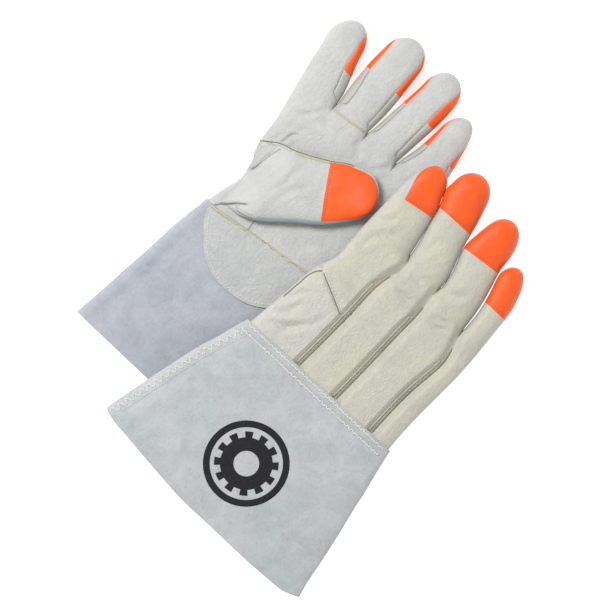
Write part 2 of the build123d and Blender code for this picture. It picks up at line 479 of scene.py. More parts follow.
def grain_leather(name, colour, warm, roughness=0.55, grain=0.22, wrinkle=0.5, mottle=0.07):
    """Smooth side of the hide: pores about a millimetre apart, fine wrinkles with painted shade in their
    hollows, and a mottled tone.
    """
    material, tree, bsdf = shader(name, roughness, sheen=0.06)
    clouds = texture(tree, "ShaderNodeTexNoise", 42, Detail=5.0, Roughness=0.6)
    base = ramp(tree, clouds.outputs["Fac"], [
        (0.32, shaded(colour, 1 - mottle)), (0.5, linear(colour)), (0.72, linear(warm)),
    ])
    pores = texture(tree, "ShaderNodeTexVoronoi", 950, Randomness=0.95)
    dark = ramp(tree, pores.outputs["Distance"], [(0.0, (1, 1, 1)), (0.75, (0.94, 0.935, 0.92))])
    folds = texture(tree, "ShaderNodeTexNoise", 330, stretch=(1, 0.6, 1), Detail=4.0, Roughness=0.66,
                    Distortion=1.6)
    # Painted shade: the tone darkens where the fold bump is lowest, in the wrinkles' hollows.
    fold_shade = ramp(tree, folds.outputs["Fac"], [(0.3, (0.93, 0.925, 0.91)), (0.55, (1, 1, 1))])
    tone = blended(tree, blended(tree, base, dark, 0.8), fold_shade, 0.7)
    tree.links.new(tone, bsdf.inputs["Base Color"])
    first = bump(tree, pores.outputs["Distance"], -grain, 0.55)
    second = bump(tree, folds.outputs["Fac"], wrinkle, 0.6, first)
    tree.links.new(second, bsdf.inputs["Normal"])
    return material


def suede(name, colour, nap, tint, mottle=0.12):
    """Split side of the hide: short fibres brushed in patches, flecks and a soft sheen."""
    material, tree, bsdf = shader(name, 0.92, sheen=0.25, specular=0.15)
    patches = texture(tree, "ShaderNodeTexNoise", 55, Detail=6.0, Roughness=0.7, Distortion=0.6)
    base = ramp(tree, patches.outputs["Fac"], [
        (0.3, shaded(colour, 1 - mottle)), (0.5, linear(colour)), (0.7, shaded(nap, 1.0)),
    ])
    hide = texture(tree, "ShaderNodeTexNoise", 21, Detail=3.0, Roughness=0.55)
    cast = ramp(tree, hide.outputs["Fac"], [(0.36, tint), (0.52, (1, 1, 1)), (0.66, (1.0, 0.975, 0.985))])
    base = blended(tree, base, cast, 1.0)
    fibres = texture(tree, "ShaderNodeTexNoise", 900, stretch=(1, 0.4, 1), Detail=6.0, Roughness=0.75,
                     Distortion=0.9)
    fleck = ramp(tree, fibres.outputs["Fac"],
                 [(0.34, (0.80, 0.81, 0.83)), (0.5, (1, 1, 1)), (0.7, (1, 1, 1))])
    tone = blended(tree, base, fleck, 0.9)
    tree.links.new(tone, bsdf.inputs["Base Color"])
    first = bump(tree, fibres.outputs["Fac"], 0.6, 0.8)
    second = bump(tree, patches.outputs["Fac"], 1.2, 0.4, first)
    tree.links.new(second, bsdf.inputs["Normal"])
    return material


def thread_material(name, colour):
    """Twisted thread: slanting plies across each stitch."""
    material, tree, bsdf = shader(name, 0.6, sheen=0.2, specular=0.3)
    plies = texture(tree, "ShaderNodeTexNoise", 1500, stretch=(1, 0.5, 1), Detail=2.0)
    tone = ramp(tree, plies.outputs["Fac"], [(0.3, shaded(colour, 0.8)), (0.6, linear(colour))])
    tree.links.new(tone, bsdf.inputs["Base Color"])
    tree.links.new(bump(tree, plies.outputs["Fac"], 0.15), bsdf.inputs["Normal"])
    return material


def ink_material(name, colour):
    """Ink printed on suede: dark, with the nap showing through in pinholes."""
    material, tree, bsdf = shader(name, 0.8, specular=0.2)
    fibres = texture(tree, "ShaderNodeTexNoise", 1100, Detail=5.0, Roughness=0.7)
    tone = ramp(tree, fibres.outputs["Fac"], [
        (0.0, linear(colour)), (0.6, linear(colour)), (0.74, linear((120, 120, 122))),
    ])
    tree.links.new(tone, bsdf.inputs["Base Color"])
    tree.links.new(bump(tree, fibres.outputs["Fac"], 0.2), bsdf.inputs["Normal"])
    return material


def floor_material(name):
    material, tree, bsdf = shader(name, 0.9, specular=0.1)
    bsdf.inputs["Base Color"].default_value = (0.82, 0.82, 0.82, 1.0)
    bsdf.inputs["Emission Color"].default_value = (1.0, 1.0, 1.0, 1.0)
    bsdf.inputs["Emission Strength"].default_value = 0.6
    return material


PALM = grain_leather("palm_grain", (209, 210, 208), (216, 216, 210), wrinkle=1.4)
BACK = grain_leather("back_grain", (213, 212, 197), (218, 214, 191), grain=0.25, wrinkle=1.6)
# A darker, slightly yellower copy of the back leather for the folded sides along the back seams: painted
# shade for the sides that face away from the key light, and partly a yellower tone of the leather there.
FOLD_SIDE_SHADED = grain_leather("back_fold_grain", (201, 199, 182), (208, 204, 185), grain=0.3, wrinkle=1.4,
                          mottle=0.12)
YOKE = grain_leather("yoke_grain", (217, 216, 208), (221, 217, 203), grain=0.3, wrinkle=1.9)
WALL = grain_leather("side_wall_grain", (200, 200, 192), (206, 205, 194))
HEEL = grain_leather("heel_grain", (202, 204, 204), (208, 208, 204), wrinkle=1.8)
GUSSET = grain_leather("gusset_grain", (199, 200, 203), (204, 204, 205), wrinkle=2.0)
# Dark lines of painted shadow, laid in the back seams' valleys and beside the thumb's and the yoke's raised
# edges.
SEAM_SHADE = grain_leather("seam_shade_grain", (132, 128, 104), (146, 142, 116))
# Grey lines of painted shade, in the gaps of the left fingers' seams, in the thumb's fold lines and along its
# tab's edge.
SEAM_AND_FOLD_SHADE = grain_leather("finger_seam_grain", (150, 152, 147), (160, 161, 153))
UNDER = grain_leather("thumb_side_grain", (176, 187, 197), (190, 197, 203))
ORANGE = grain_leather("orange_grain", (266, 99, 18), (268, 109, 26), roughness=0.5, grain=0.12,
                       wrinkle=0.25, mottle=0.1)
LEFT_SUEDE = suede("left_split", (187, 190, 198), (197, 199, 206), (0.94, 0.96, 1.0), mottle=0.14)
RIGHT_SUEDE = suede("right_split", (200, 203, 204), (212, 213, 214), (0.91, 0.96, 0.95))
THREAD = thread_material("pale_thread", (236, 235, 230))
ORANGE_THREAD = thread_material("orange_thread", (224, 96, 48))
WELT = grain_leather("welt_grain", (203, 198, 166), (212, 206, 176))
INK = ink_material("print_black", (38, 38, 40))


# ---------------------------------------------------------------- shapes of the two hands

LEFT_SEAMS = [
    [(0, 38), (60, 30), (100, 25.5), (117, 24.3)],
    [(0, 71), (60, 63), (117, 55.7)],
    [(0, 103), (60, 94), (115, 86.3)],
]
LEFT_FINGERS = [
    Finger(
        "index",
        [(-3, 2), (6.5, 4.3), (15, 6.2), (26.5, 9.3), (38, 11.2), (50, 3.2), (58, 1.2), (76, -0.8),
         (101.5, -6.3),
         (124, -11.3), (143, -14.8), (150, -16.5), (172, -17)],
        [(117, 24.3), (124, 23.2), (139, 18.5), (151.5, 14.2), (172, 12)],
        117, 138, 172.5, 20, 0.0,
        [(117, 0.93), (172, 0.97)],
        [(117, 0.62), (124, 0.57), (138, 0.53), (151, 0.64), (165, 0.74), (170, 1.0)],
    ),
    Finger(
        "middle",
        [(117, 24.6), (135, 22.6), (152, 21.2), (175, 21.6), (191, 22.5)],
        [(117, 55.4), (135, 56.2), (152, 55.6), (170, 54), (191, 52.5)],
        117, 151.5, 191.2, 17, 0.0,
        [(117, 0.68), (124, 0.63), (152, 0.77), (179, 0.9), (184, 1.0)],
        [(117, 0.72), (152, 0.70), (179, 0.84), (186, 0.87), (190, 1.0)],
    ),
    Finger(
        "ring",
        [(117, 56), (122, 56.8), (140, 58.4), (152, 59.5), (167, 60.8), (191, 61)],
        [(115, 86), (122, 86.8), (140, 88.4), (152, 89.5), (170, 90), (191, 88.3)],
        117, 151, 191.2, 17, 0.0,
        [(117, 0.82), (124, 0.8), (152, 0.83), (179, 0.95), (182, 1.0)],
        [(117, 0.68), (124, 0.65), (152, 0.55), (170, 0.57), (182, 0.8), (188, 1.0)],
    ),
    Finger(
        "little",
        [(115, 86.6), (122, 88), (132, 90.2), (152, 92.2), (174, 93)],
        [(0, 133), (20, 127), (40, 122.5), (60, 121), (80, 121.5), (100, 122.5), (120, 122.6), (132, 121.8),
         (140, 120.5), (152, 117.7), (160, 116), (174, 115)],
        115, 139, 174.2, 17, 0.0,
        [(115, 0.85), (139, 0.74), (152, 0.82), (162, 0.92), (167, 1.0)],
        [(115, 0.93), (130, 0.8), (139, 0.7), (152, 0.86), (161, 1.0)],
    ),
]
RIGHT_SEAMS = [
    [(0, 49.6), (36, 51.0), (56, 51.4), (86, 52.2), (96, 54.4), (103, 56.6), (109, 56.2), (116, 53.5)],
    [(0, 86.2), (36, 87.0), (66, 87.2), (90, 87.4), (100, 86.6), (108, 86.4), (116, 86.6)],
    [(0, 122.4), (14, 122.2), (41, 122.8), (52, 123.8), (61, 125), (68, 125.8), (77, 125.6), (86, 123.7),
     (96, 120.9),
     (108, 119.5)],
]
RIGHT_FINGERS = [
    Finger(
        "index",
        [(0, 1.4), (12, 3.0), (25, 4.4), (39, 6.0), (50, 6.9), (55, 7.6), (60.5, 8.7), (66, 10.2),
         (70.5, 12.4),
         (74.5, 14.0), (100, 14.1), (130, 14.2), (148, 14.2), (158, 14.9), (166, 16.2), (178, 16.5)],
        [(116, 53.5), (130, 50.9), (145, 47.2), (154, 45.5), (162, 42.2), (178, 40.5)],
        116, 143.2, 178, 16, 0.17,
    ),
    Finger(
        "middle",
        [(116, 54), (130, 51.5), (145, 47.8), (154, 46), (162, 42.8), (166, 40.6), (177, 40.6), (194, 40.2)],
        [(116, 86.6), (121, 86.2), (129, 84.2), (137, 81.5), (145, 78.9), (156, 76.5), (169, 73.5),
         (180, 70.6),
         (194, 69.8)],
        116, 155.7, 194.2, 17, 0.02,
    ),
    Finger(
        "ring",
        [(114, 87.2), (129, 84.8), (137, 82.2), (145, 79.6), (148, 78.9), (161, 79.5), (172, 80.9),
         (185, 81)],
        [(103, 119.8), (108, 119.5), (126, 116.9), (137, 114.1), (150, 110.4), (164, 109.3), (176, 107.1),
         (185, 106.5)],
        114, 147.7, 185.2, 16, 0.11,
    ),
    Finger(
        "little",
        [(98, 120.5), (108, 120.3), (118, 119.5), (126, 118.2), (137, 115.4), (149, 111.9), (163, 110.9)],
        [(0, 139.8), (14, 139.2), (34, 139.2), (54, 139.9), (74, 140.5), (88, 140.2), (108, 139.2),
         (121, 138.2),
         (128, 137.8), (140, 136), (148, 133.5), (156, 131.2), (163, 130.5)],
        103, 127.7, 163, 14, 0.0,
    ),
]
LEFT_CREASES = [
    ((12.5, 66), (19, 80), 1.5, 1.3),
    ((6, 64), (14, 74), 2.0, 0.6),
    ((2, 86), (24, 99), 3.0, 0.9),
    ((8, 80), (20, 108), 2.4, 0.7),
    ((24, 104), (44, 96), 2.6, 0.5),
    ((56, 112), (62, 94), 2.6, 0.6),
    ((84, 112), (78, 96), 2.6, 0.5),
    ((30, 34), (62, 40), 3.5, 0.5),
    ((70, 22), (104, 36), 4.0, 0.5),
    ((96, 62), (112, 84), 4.0, 0.6),
]
RIGHT_CREASES = [
    ((4, 10), (22, 34), 2.6, 0.9),
    ((10, 6), (34, 26), 2.8, 0.9),
    ((22, 8), (40, 40), 2.6, 0.8),
    ((6, 30), (20, 46), 2.2, 0.8),
    ((20, 96), (36, 120), 3.0, 0.8),
    ((16, 112), (30, 132), 2.6, 0.7),
    ((56, 94), (76, 100), 1.8, 1.0),
    ((56, 99), (78, 104), 1.8, 1.0),
    ((60, 88), (80, 92), 2.0, 0.7),
    ((62, 106), (82, 112), 2.4, 0.7),
    ((92, 88), (112, 92), 1.8, 1.0),
    ((94, 95), (114, 97), 2.0, 0.9),
    ((90, 104), (104, 124), 3.0, 0.9),
    ((56, 120), (66, 140), 3.0, 0.6),
    ((52, 50), (70, 58), 2.6, 0.4),
    ((90, 40), (108, 52), 2.6, 0.4),
]


def wrinkles(x, y, upward, lines, seed):
    """The leather's slack, with the fold lines on the side that shows."""
    z = 0.5 * noise(x, y, 19, seed) + 0.22 * noise(x, y, 7, seed + 1) + 0.1 * noise(x, y, 3.1, seed + 2)
    for start, end, width, depth in lines:
        z = z + np.where(upward > 0, crease(x, y, start, end, width, depth), 0.0)
    return np.where(upward > 0, z, 0.5 * z)


def left_shape(x, y, upward, weight, close):
    z = wrinkles(x, y, upward, LEFT_CREASES, 3)
    for seam in LEFT_SEAMS:
        valley = smoothstep(84, 114, y) * (1 - weight)
        z = z - np.where(upward > 0, valley, 0.25) * 2.0 * hump(x - curve(seam)(y), 6.0) * (1 - weight)
    return z * close


RIGHT_LINES = [curve(seam) for seam in RIGHT_SEAMS]


def yoke_line(x):
    """y of the V-shaped seam between the yoke and the index finger's strip."""
    return 64.5 - 0.47 * (np.asarray(x, float) - 14.0)


def right_shape(x, y, upward, weight, close):
    z = wrinkles(x, y, upward, RIGHT_CREASES, 11)
    for line in RIGHT_LINES:
        d = x - line(y)
        drop = np.where(d < 0, 1 - smoothstep(0, STEP_WIDTH + 0.6, -d), (1 - smoothstep(0, 8, d)) ** 1.5)
        fade = 1 - weight
        z = z - np.where(upward > 0, STEP_DEPTH, 0.8) * drop * fade
    away = y - yoke_line(x)
    yoke = np.where((x < RIGHT_LINES[0](y)) & (upward > 0), 1.0, 0.0)
    raised = 1.3 * smoothstep(-0.4, 0.9, away) * (1 - smoothstep(4, 24, away))
    z = z + yoke * (raised - 1.1 * hump(away + 1.0, 1.2))
    return z * close


gloves = [
    Glove("left", LEFT, True, LEFT_SEAMS, [117, 117, 115], LEFT_FINGERS, left_shape),
    Glove("right", RIGHT, False, RIGHT_SEAMS, [116, 114, 103], RIGHT_FINGERS, right_shape),
]


# ---------------------------------------------------------------- the gauntlets

class Cuff:
    """A gauntlet: a flattened tube from the wrist seam, where it meets the hand, to its mouth."""

    def __init__(self, glove, left, right, hem, corners, gap, shape):
        self.glove = glove
        self.left, self.right, self.hem = curve(left), curve(right), curve(hem)
        self.corners, self.gap, self.shape = corners, gap, shape

    def point(self, v, a, lift=0.0):
        """Points at the share v of the way to the mouth and the place a round it."""
        v, a = np.broadcast_arrays(np.asarray(v, float), np.asarray(a, float))
        across, upward, height = oval(a, (CUFF_EDGE,) * 4, CUFF_CORNER)
        y = v * self.hem((across + 1) / 2)
        left, right = self.left(y), self.right(y)
        gap = self.gap * (1 - smoothstep(0, 0.25, v))
        x = mix(left - gap, right + gap, (across + 1) / 2)
        low_left, low_right, top_left, top_right = self.corners
        wide = smoothstep(0.0, 0.9, v)
        low = mix(0.6, mix(low_left, low_right, (across + 1) / 2), wide)
        top = mix(21.6, mix(top_left, top_right, (across + 1) / 2), wide)
        full = (1 - np.minimum(np.abs(across), 1) ** 6) ** (1 / 6)
        height = mix(full, height, wide)
        middle = mix(mix(10.0, (low + top) / 2, wide), (low + top) / 2, wide)
        z = np.where(upward > 0, middle + (top - middle + gap) * height,
                     middle - (middle - low + gap) * height)
        z = z + self.shape(x, y, upward) * height + lift * np.where(upward > 0, height, -height)
        return self.glove.place.upright(np.stack([x, y, z], axis=-1))

    def patch(self, a0, a1, material, rows=110, cols=150):
        """A panel from the mouth to the wrist seam, between two places round the tube."""
        v = np.linspace(1, 0, rows)[:, None]
        a = np.linspace(a0, a1, cols)[None, :]
        return panel(self.point(v, a), SPLIT, material, self.glove.place)


def left_cuff_shape(x, y, upward):
    z = 0.7 * noise(x, y, 34, 21) + 0.35 * noise(x, y, 12, 22) + 0.12 * noise(x, y, 4, 23)
    fold = curve([(-127, -1.5), (-60, 4.5), (0, 8.0)])(y)
    z = z + 1.5 * smoothstep(0, -10, y) * hump(x - fold + 4.5, 3.6)
    z = z - 0.9 * smoothstep(0, -10, y) * hump(x - fold - 4.5, 5.0)
    return np.where(upward > 0, z, 0.3 * z)


def right_cuff_shape(x, y, upward):
    z = 0.8 * noise(x, y, 40, 31) + 0.35 * noise(x, y, 13, 32) + 0.12 * noise(x, y, 4.5, 33)
    z = z - 0.8 * (hump(y + 2.3, 1.1) + hump(y + 7.8, 1.1))
    z = z + 0.5 * hump(y + 5.0, 1.8)
    return np.where(upward > 0, z, 0.3 * z)


cuffs = {
    "left": Cuff(
        gloves[0],
        [(0, 0.2), (-36, -3.2), (-58, -4.8), (-83.5, -7.5), (-106, -9.4), (-126.5, -11.8)],
        [(0, 133), (-127, 175)],
        [(0, -126.6), (0.3, -127), (1, -127)],
        (0.0, 0.0, 22.0, 11.0), -1.3, left_cuff_shape,
    ),
    "right": Cuff(
        gloves[1],
        [(0, 0.4), (-8, -2.8), (-20, -7.1), (-38, -13.5), (-60, -19.2), (-80, -24.2), (-98, -28.5),
         (-117, -32.8)],
        [(0, 140), (-4, 140.8), (-17, 144.2), (-31, 147.9), (-50, 151.5), (-70, 155.8), (-93, 160.1),
         (-114, 163.6), (-124.5, 166.1)],
        [(0, -118), (0.03, -120), (0.14, -123), (0.28, -126.4), (0.43, -129.5), (0.57, -129.8),
         (0.87, -129.8),
         (0.94, -128.8), (1, -124.5)],
        (-10.0, -2.0, 22.0, 20.0), 1.5, right_cuff_shape,
    ),
}


# ---------------------------------------------------------------- building the panels

def index_wrap(y):
    """How far the right index's palm leather reaches over its top, as a place round the finger."""
    finger = RIGHT_FINGERS[0]
    return WRAP * (1 - smoothstep(finger.cap - 4, finger.tip - 6, np.asarray(y, float)))


panels = {}


def step_at(glove, g):
    """A function of y for where the folded side of a back strip starts, as a place round it."""
    end = glove.crotches[g] - FOLDED_BEFORE

    def place_round(y):
        left, right = glove.edges(g, np.asarray(y, float))
        width = STEP_WIDTH * (1 - smoothstep(end - 26, end, y)) + 0.3
        return 1 - width / (right - left)
    return place_round


def build_strip(glove, g, low):
    """A back strip. On the right glove its right side is folded down to the seam, except beside a finger;
    that folded side takes a darker copy of the back leather, painted shade.
    """
    end = glove.fingers[g].start
    if glove.palm_up:
        return glove.patch(g, low, end, 2, 3, BACK)
    if g == 3:
        return glove.patch(g, low, end, 0, 1, BACK)
    high = glove.crotches[g] - FOLDED_BEFORE
    return joined([
        glove.patch(g, low, high, 0, step_at(glove, g), BACK),
        # the folded side: the darker copy of the back leather, painted shade
        glove.patch(g, low, high, step_at(glove, g), 1, FOLD_SIDE_SHADED),
        glove.patch(g, high, end, 0, 1, BACK),
    ])


def build_hand(glove):
    """The palm, which takes in the hand's two sides, the yoke and the four back strips."""
    side, up = glove.side, glove.palm_up
    begin = 0.0 if up else -5.0
    palm = (0, 1) if up else (2, 3)
    made = [glove.patch(g, begin, finger.start, *palm, PALM) for g, finger in enumerate(glove.fingers)]
    made.append(glove.patch(0, begin, glove.fingers[0].start, 3, 4, PALM))
    made.append(glove.patch(3, begin, glove.fingers[3].start, 1, 2, PALM))
    panels[f"{side}_palm"] = joined(made)
    for g, finger in enumerate(glove.fingers):
        if g == 0 and up:
            panels["left_yoke"] = glove.patch(0, begin, YOKE_END, 2, 3, YOKE)
        panels[f"{side}_{finger.name}_strip"] = build_strip(glove, g, begin if g else YOKE_END)
        if g == 0 and not up:
            panels["right_yoke"] = joined([
                glove.patch(0, begin, YOKE_END, 0, step_at(glove, 0), YOKE),
                # the yoke's folded side: the darker copy of the back leather, painted shade
                glove.patch(0, begin, YOKE_END, step_at(glove, 0), 1, FOLD_SIDE_SHADED),
            ])
    for g in range(4):
        build_finger(glove, g)


def build_finger(glove, g):
    """A finger's side walls, front, back and cap. An index's front takes in the wall on its thumb side."""
    finger, up = glove.fingers[g], glove.palm_up
    start, cap, tip = finger.start, finger.cap, finger.tip
    key = f"{glove.side}_{finger.name}"
    wraps = g == 0
    walls = [glove.patch(g, glove.crotches[g] if g < 3 else start, cap, 1, 2, WALL)]
    if not wraps:
        walls.append(glove.patch(g, glove.crotches[g - 1], cap, 3, 4, WALL))
    panels[f"{key}_side_walls"] = joined(walls)
    if up:
        over = -1 if wraps else 0
        panels[f"{key}_front"] = glove.patch(g, start, cap, over, 1, PALM)
        panels[f"{key}_back"] = glove.patch(g, start, cap, 2, 3, BACK)
        panels[f"{key}_tip_front"] = glove.patch(g, cap, tip, over, 1, PALM, crowd=True)
        panels[f"{key}_cap"] = glove.patch(g, cap, tip, 1, 4 + over, ORANGE, crowd=True)
        return
    panels[f"{key}_back"] = glove.patch(g, start, cap, 0, 1, BACK)
    low = glove.patch(g, start, cap, 2, 4 if wraps else 3, PALM)
    front_end = (lambda y: 4 + index_wrap(y)) if wraps else 3
    panels[f"{key}_front"] = joined([low, glove.patch(g, cap, tip, 2, front_end, PALM, crowd=True)])
    panels[f"{key}_cap"] = glove.patch(g, cap, tip, index_wrap if wraps else -1, 2, ORANGE, crowd=True)


for glove in gloves:
    build_hand(glove)
    cuff = cuffs[glove.side]
    leather = LEFT_SUEDE if glove.palm_up else RIGHT_SUEDE
    halves = ((-0.5, 1.5), (1.5, 3.5)) if glove.palm_up else ((1.5, 3.5), (-0.5, 1.5))
    panels[f"{glove.side}_gauntlet_palm"] = cuff.patch(*halves[0], leather)
    panels[f"{glove.side}_gauntlet_back"] = cuff.patch(*halves[1], leather)


# ---------------------------------------------------------------- the heel patches

def build_heel(glove, edge, top):
    """The palm leather's patch over the gauntlet, from the heel seam down to its curved edge."""
    cuff = cuffs[glove.side]
    across_count, along_count = 100, 60
    xs = np.linspace(edge[0][0], edge[-1][0], across_count)
    rows = np.linspace(0, 1, along_count)[:, None]
    x = np.broadcast_to(xs[None, :], (along_count, across_count))
    y = mix(curve(edge)(xs)[None, :], curve(top)(xs)[None, :], rows)
    left, right = cuff.left(y), cuff.right(y)
    share = np.clip((x - left) / (right - left), 0.02, 0.98)
    a = (share * 2 - 1 + CUFF_EDGE) / (2 * CUFF_EDGE)
    v = np.clip(y / cuff.hem(share), 0, 1)
    if not glove.palm_up:
        a = 3 - a
    outer = np.stack([x, y, cuff.point(v, a, GRAIN + HEEL_GAP)[..., 2]], axis=-1)
    if not glove.palm_up:
        outer = outer[:, ::-1]
    return panel(glove.place.upright(outer), GRAIN, HEEL, glove.place)


LEFT_HEEL_EDGE = [(7.5, -6), (10.6, -12), (17.5, -20), (23.7, -27), (31.2, -33), (38.7, -36.6), (46.2, -39),
                  (56.2, -39.7), (66.2, -39), (76.2, -36.6), (87.5, -30.4), (98, -20), (105, -8)]
LEFT_HEEL_SEAM = [(7.5, -1.8), (10.2, -1.6), (35.2, 2), (52.5, 4.6), (73.7, 7), (92.5, 10.2), (105, 11)]
panels["left_heel_patch"] = build_heel(gloves[0], LEFT_HEEL_EDGE, LEFT_HEEL_SEAM)
RIGHT_HEEL_EDGE = [(12, -1.5), (20, -20), (33, -31), (48, -37.5), (62, -39.5), (76, -37.5), (91, -31),
                   (104, -20), (112, -1.5)]
panels["right_heel_patch"] = build_heel(gloves[1], RIGHT_HEEL_EDGE, [(12, -0.5), (112, -0.5)])


# ---------------------------------------------------------------- the thumbs

class Thumb:
    """A thumb between its two outlines, which run from its root to its tip."""

    edges = (0.90, 0.93, 0.86, 0.93)
    count = 200  # of points along each outline
    tip_share = 0.12  # the share of the length that the tip closes over

    def __init__(self, glove, upper, lower, middle, height, cap_line, root_bow=0.0, folds=()):
        self.glove, self.root_bow, self.folds = glove, root_bow, folds
        self.upper, self.lower = along(upper, count=self.count), along(lower, count=self.count)
        self.middle, self.height = middle, height
        self.cap_upper = self.share(self.upper, cap_line[0])
        self.cap_lower = self.share(self.lower, cap_line[1])

    def share(self, line, spot):
        """The share of an outline's length that a spot is at."""
        return float(np.argmin(np.linalg.norm(line - np.array(spot, float), axis=1))) / (self.count - 1)

    def spot(self, line, s):
        """The spot at that share of an outline's length."""
        k = np.clip(s, 0, 1) * (self.count - 1)
        return np.stack([np.interp(k, np.arange(self.count), line[:, j]) for j in (0, 1)], axis=-1)

    def point(self, s, a):
        """Points at the share s of its length and the place a round it, which is 1 at its upper seam."""
        s, a = np.broadcast_arrays(np.asarray(s, float), np.asarray(a, float))
        across, upward, height = oval(a, self.edges, HAND_CORNER)
        w = ((across + 1) / 2)[..., None]
        plan = mix(self.spot(self.lower, s), self.spot(self.upper, s), w)
        bow = self.root_bow * 4 * w[..., 0] * (1 - w[..., 0]) * (1 - smoothstep(0, 0.3, s))
        plan = plan + np.stack([bow, 0 * bow], axis=-1)
        reach = np.clip((s - (1 - self.tip_share)) / self.tip_share, 0, 1)
        close = np.sqrt(np.maximum(1 - reach * reach, 0.0)) * 0.97 + 0.03
        z = self.middle(s) + upward * self.height(s, upward) * height * close
        slack = 0.5 * noise(plan[..., 0], plan[..., 1], 15, 41) + 0.25 * noise(plan[..., 0], plan[..., 1],
                                                                               6, 42)
        z = z + slack * close * height
        for start, end, width, depth in self.folds:
            z = z + np.where(upward > 0, crease(plan[..., 0], plan[..., 1], start, end, width, depth),
                             0.0) * height
        return np.concatenate([plan, z[..., None]], axis=-1)

    def patch(self, a0, a1, s0, s1, material, rows=90, cols=60):
        """A panel between two places round the thumb and two shares of its length."""
        a = np.linspace(a0, a1, cols)[None, :]
        r = np.linspace(0, 1, rows)[:, None]
        across = oval(a, self.edges, HAND_CORNER)[0]
        low, high = at(s0, across), at(s1, across)
        return panel(self.point(low + (high - low) * r, a), GRAIN, material, self.glove.place)

    def cap_at(self, across):
        return mix(self.cap_lower, self.cap_upper, (across + 1) / 2)


def left_thumb_middle(s):
    return mix(13.5, 29.4, smoothstep(0.0, 0.30, s))


def left_thumb_height(s, upward):
    return np.where(upward > 0, mix(7.0, 7.4, s), mix(5.0, 6.4, smoothstep(0, 0.3, s)))


left_thumb = Thumb(
    gloves[0],
    [(1.2, 58), (15.2, 67), (25.2, 69.6), (36.2, 74.6), (51.2, 82.7), (62.5, 90), (67.5, 91.5), (73.7, 93.7),
     (81.2, 94.6), (87.5, 91.5), (92.3, 86.8), (95.2, 81.5), (96.3, 76.5)],
    [(6.8, -3.5), (15.2, 5.9), (27.5, 8.4), (38.7, 13.4), (53.2, 25), (63.7, 34), (73.7, 41.5), (86.5, 55.5),
     (93.2, 65), (95.8, 71.5), (96.3, 75.5)],
    left_thumb_middle, left_thumb_height, ((50.2, 81.8), (75.5, 43.5)), root_bow=6.5,
    folds=[((6, -4), (27, 16.5), 1.3, 3.4), ((17.5, 65), (11.5, 35), 1.5, 1.5),
           ((25, 8.5), (38, 12.8), 1.0, 1.2),
           ((22, 18), (30, 60), 2.4, 0.6), ((30, 28), (40, 66), 2.6, 0.5), ((16, 24), (22, 50), 2.0, 0.6),
           ((40, 34), (52, 62), 2.6, 0.4), ((20, 40), (26, 66), 1.8, 0.5)],
)


def right_thumb_middle(s):
    return mix(-7.0, -7.9, smoothstep(0, 0.3, s))


def right_thumb_height(s, upward):
    return 0 * s + 6.6


def tucked_outline(base, heading, length, half, tip_half, sign):
    """One side of a straight thumb with a rounded tip."""
    h = math.radians(heading)
    way, side = np.array([math.sin(h), math.cos(h)]), np.array([math.cos(h), -math.sin(h)]) * sign
    spots = [(-6.0, half), (0.25 * length, half), (0.6 * length, mix(half, tip_half, 0.7)),
             (length - tip_half, tip_half)]
    spots += [(length - tip_half * (1 - math.sin(t)), tip_half * math.cos(t)) for t in (0.5, 0.9, 1.25, 1.5)]
    return [tuple(np.array(base) + way * d + side * w) for d, w in spots]


right_thumb = Thumb(
    gloves[1],
    tucked_outline((65, 47), 8, 74, 15, 12.6, 1),
    tucked_outline((65, 47), 8, 74, 15, 12.6, -1),
    right_thumb_middle, right_thumb_height, ((80, 87), (56, 87)),
)


def gusset_end(across):
    """How far along the left thumb the small gusset at its root reaches."""
    return 0.003 + 0.132 * np.clip((across - 0.3) / 0.63, 0, 1) ** 0.6


ROOT_END = 0.30  # the share of the left thumb whose underside is cut from the palm
panels["left_thumb_back"] = joined([
    left_thumb.patch(0, 0.66, 0.0, left_thumb.cap_at, PALM),
    left_thumb.patch(0.66, 1, 0.0, gusset_end, GUSSET, rows=16, cols=40),
    left_thumb.patch(0.66, 1, gusset_end, left_thumb.cap_at, PALM, cols=40),
])
panels["left_thumb_cap"] = left_thumb.patch(0, 1, left_thumb.cap_at, 1.0, ORANGE)
panels["left_thumb_front"] = joined([
    left_thumb.patch(1, 2.2, 0.0, 1.0, PALM),
    left_thumb.patch(2.2, 4, 0.0, ROOT_END, PALM, rows=30, cols=80),
    left_thumb.patch(2.2, 4, ROOT_END, 1.0, UNDER, cols=80),
])
panels["right_thumb_back"] = right_thumb.patch(2, 3, 0.0, right_thumb.cap_at, BACK)
panels["right_thumb_cap"] = right_thumb.patch(2, 3, right_thumb.cap_at, 1.0, ORANGE)
panels["right_thumb_front"] = right_thumb.patch(-1, 2, 0.0, 1.0, PALM, cols=110)


# ---------------------------------------------------------------- what each panel rides on

THUMB_HEADING = math.radians(54.4)
THUMB_BASE = (16.2, 31.0)
MID_HEIGHT = 10.0


def thumb_spot(distance):
    """The spot that far along the left thumb from the middle of its root."""
    return (THUMB_BASE[0] + math.sin(THUMB_HEADING) * distance,
            THUMB_BASE[1] + math.cos(THUMB_HEADING) * distance)


